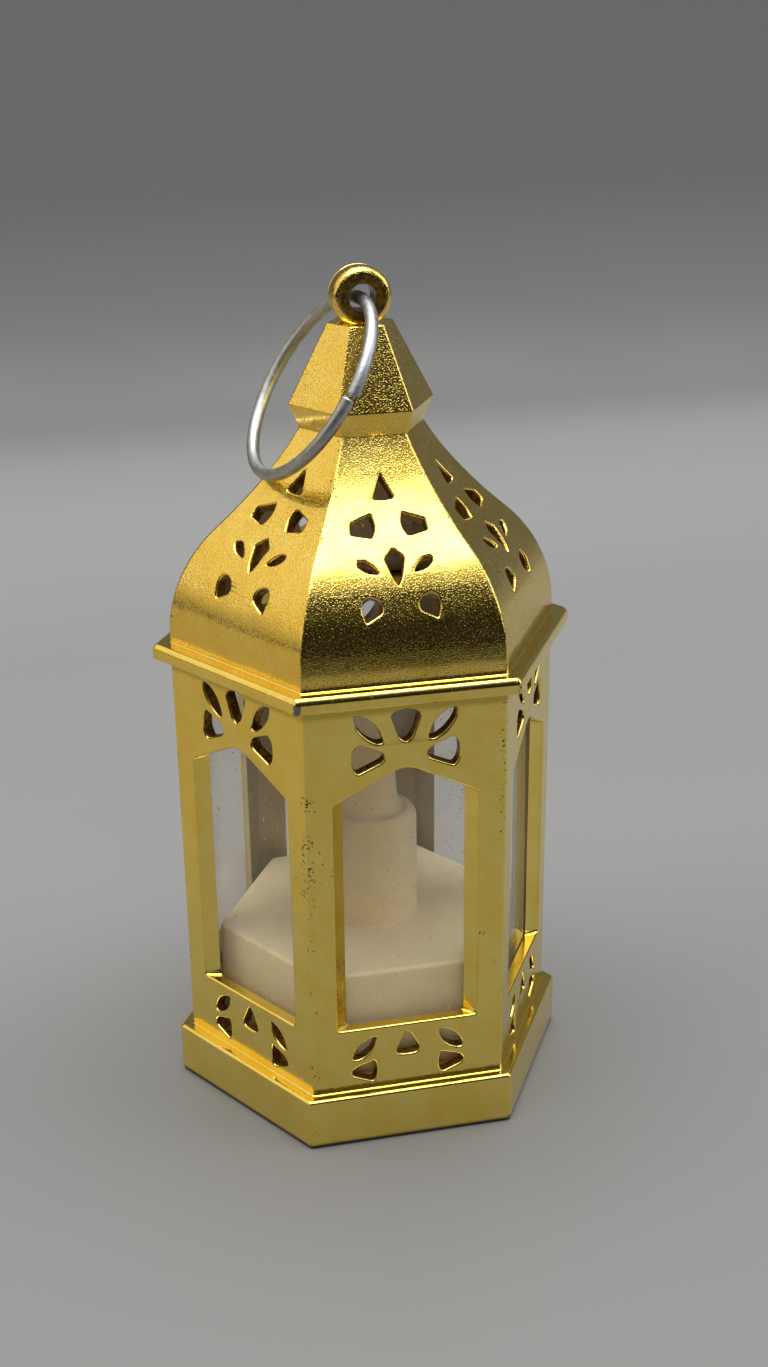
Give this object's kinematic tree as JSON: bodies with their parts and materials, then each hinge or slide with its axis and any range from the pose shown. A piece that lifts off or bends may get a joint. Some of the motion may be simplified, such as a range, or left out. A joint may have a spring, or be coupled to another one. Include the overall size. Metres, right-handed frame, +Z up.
{
  "type": "hanging lantern",
  "caption": "Small gold hexagonal lantern with a pierced ogee roof, arched windows, an LED candle inside and a split wire ring to hang it by.",
  "frame": {"origin": "centre of the plinth's resting rim, on the plane that the lantern stands on", "axes": "+Z up along the lantern's axis; -Y is a flat side that faces the front; +X to the right, through a corner"},
  "size_m": [0.0618, 0.0536, 0.1218],
  "materials": {
    "gold": "gold vacuum-metallised plastic, satin with a fine pebbled grain",
    "clear": "thin clear plastic sheet, slightly warm",
    "wire": "satin nickel-plated wire",
    "milk": "milky translucent plastic",
    "flame": "milky translucent plastic",
    "black": "fine matt texture",
    "knob": "satin",
    "screw": "bright plated",
    "cell": "bright nickel",
    "spring_strip": "bright",
    "board": "satin solder mask",
    "lamp": "diffused epoxy",
    "resistor": "lacquered",
    "red_wire": "insulated wire",
    "black_wire": "insulated wire"
  },
  "bodies": {
    "lantern": {"plinth": "gold", "cage": "gold", "window_liner": "clear", "roof": "gold", "finial": "gold", "candle": "milk", "flame": "flame", "base_cover": "black", "battery_door": "black", "door_screw": "screw", "cover_screws": "screw", "cell_1": "cell", "cell_2": "cell", "cell_3": "cell", "contact_positive": "spring_strip", "contact_negative": "spring_strip", "switch_body": "black", "switch_pins": "screw", "led_board": "board", "led": "lamp", "led_leads": "screw", "resistor": "resistor", "positive_wire": "red_wire", "battery_wire": "black_wire", "switch_wire": "black_wire"},
    "ring": {"hang_ring": "wire"},
    "switch": {"switch_slider": "knob"}
  },
  "joints": [
    {"name": "ring_swing", "type": "hinge", "parent": "lantern", "child": "ring", "pos_m": [0, 0, 0.1175], "axis": [-0.1478, 0.989, 0], "range_deg": [0, 294]},
    {"name": "switch_slide", "type": "slide", "parent": "lantern", "child": "switch", "axis": [1, 0, 0], "range_m": [0, 0.002]}
  ]
}
